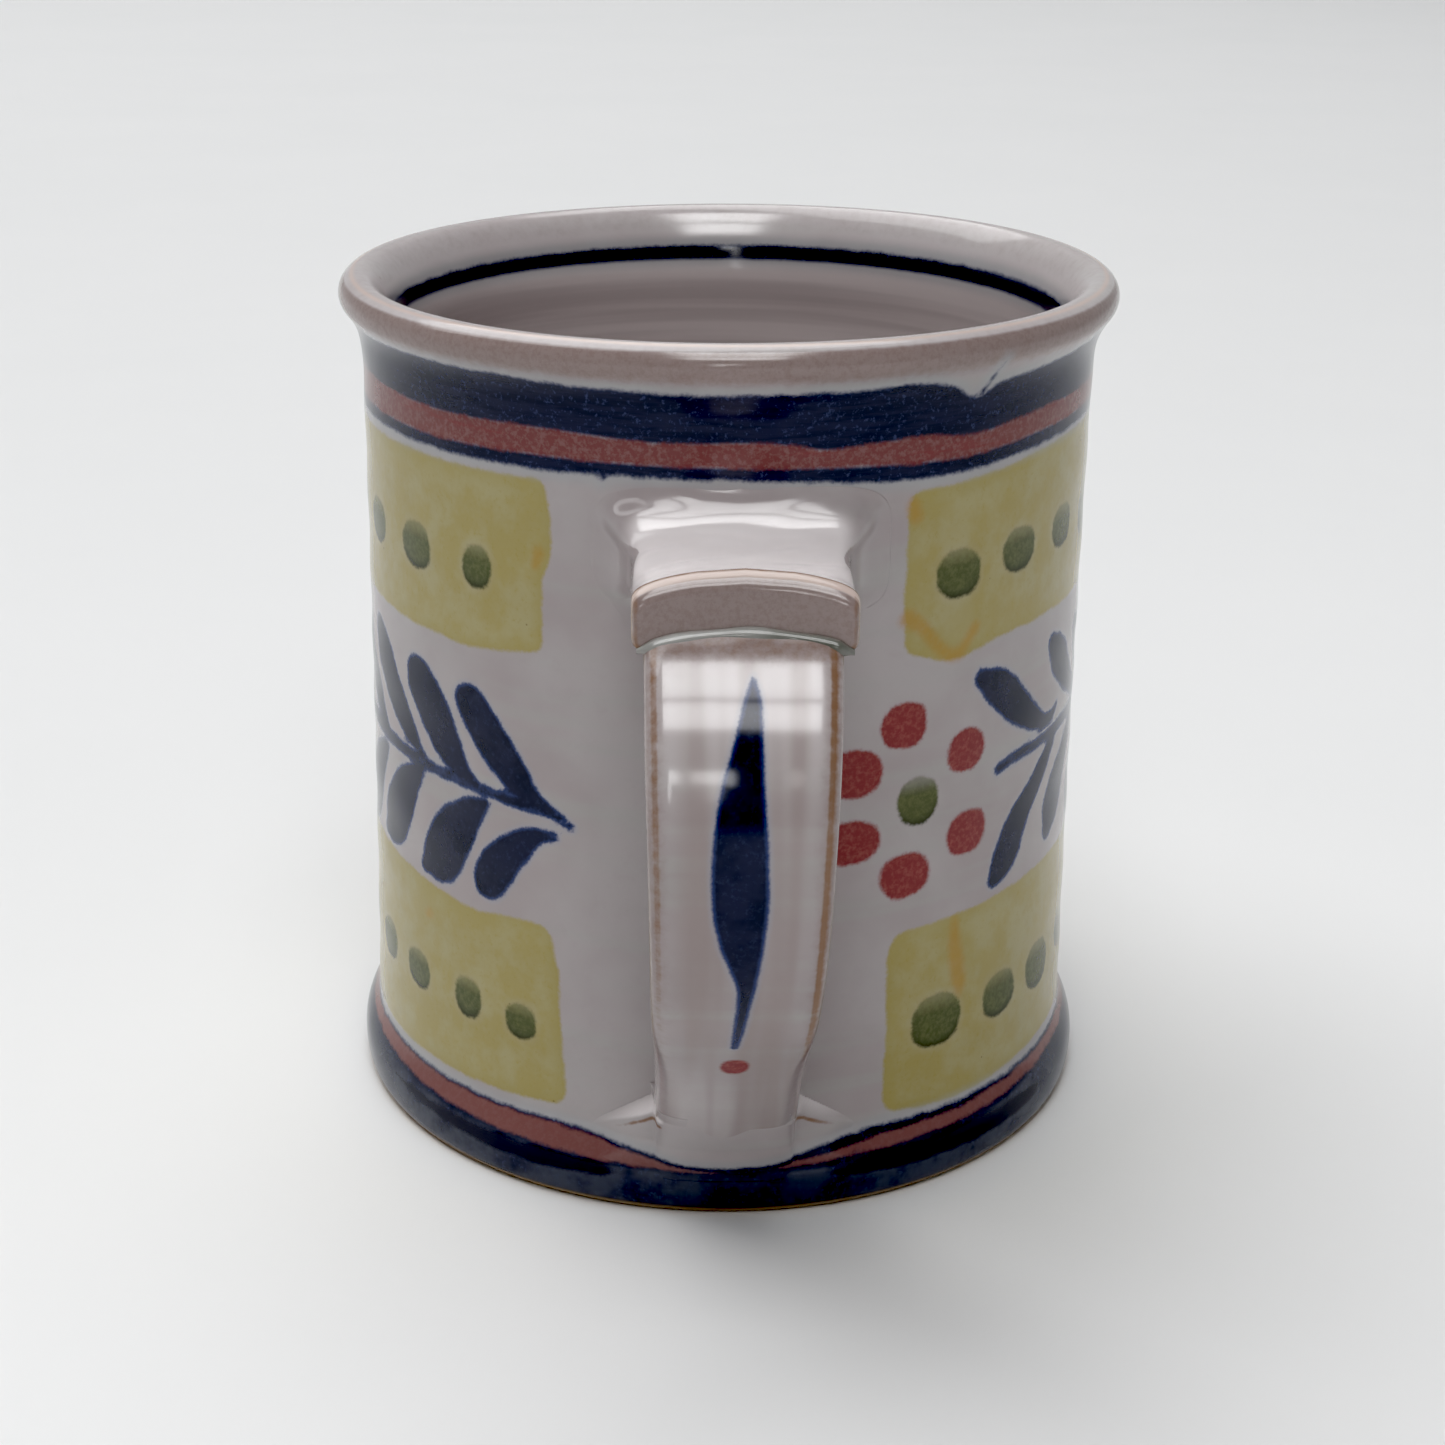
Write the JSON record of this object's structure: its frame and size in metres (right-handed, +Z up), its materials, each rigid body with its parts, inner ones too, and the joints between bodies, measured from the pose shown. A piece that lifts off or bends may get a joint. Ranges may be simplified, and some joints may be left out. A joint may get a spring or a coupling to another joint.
{
  "type": "stoneware mug",
  "caption": "Hand-thrown stoneware mug with a flared rim, flanged foot, strap handle and thumb rest, painted with bands, dotted panels and leaf sprigs.",
  "frame": {"origin": "centre of the flat face of the foot, on the mug's axis", "axes": "+Z up along the mug's axis, handle along -Y, +X to the right of someone who faces the handle"},
  "size_m": [0.087, 0.115, 0.0956],
  "materials": {
    "painted_body_glaze": "glossy pinkish white glaze over brown stoneware, hand painted in navy, rose, green and ochre",
    "strap_glaze": "glossy white glaze that breaks to brown along the edges, with one navy brush stroke",
    "thumb_rest_glaze": "glossy glaze, thin and brown along the brow",
    "luting_glaze": "glossy glaze over blended clay, brown where it is thin",
    "seam_glaze": "glossy pale grey-green glaze pooled in the seam"
  },
  "bodies": {
    "root": {"thrown_body": "painted_body_glaze", "handle_strap": "strap_glaze", "thumb_rest": "thumb_rest_glaze", "upper_luting_coil": "luting_glaze", "seam_luting_coil": "seam_glaze", "lower_luting_coil": "luting_glaze"}
  },
  "joints": []
}
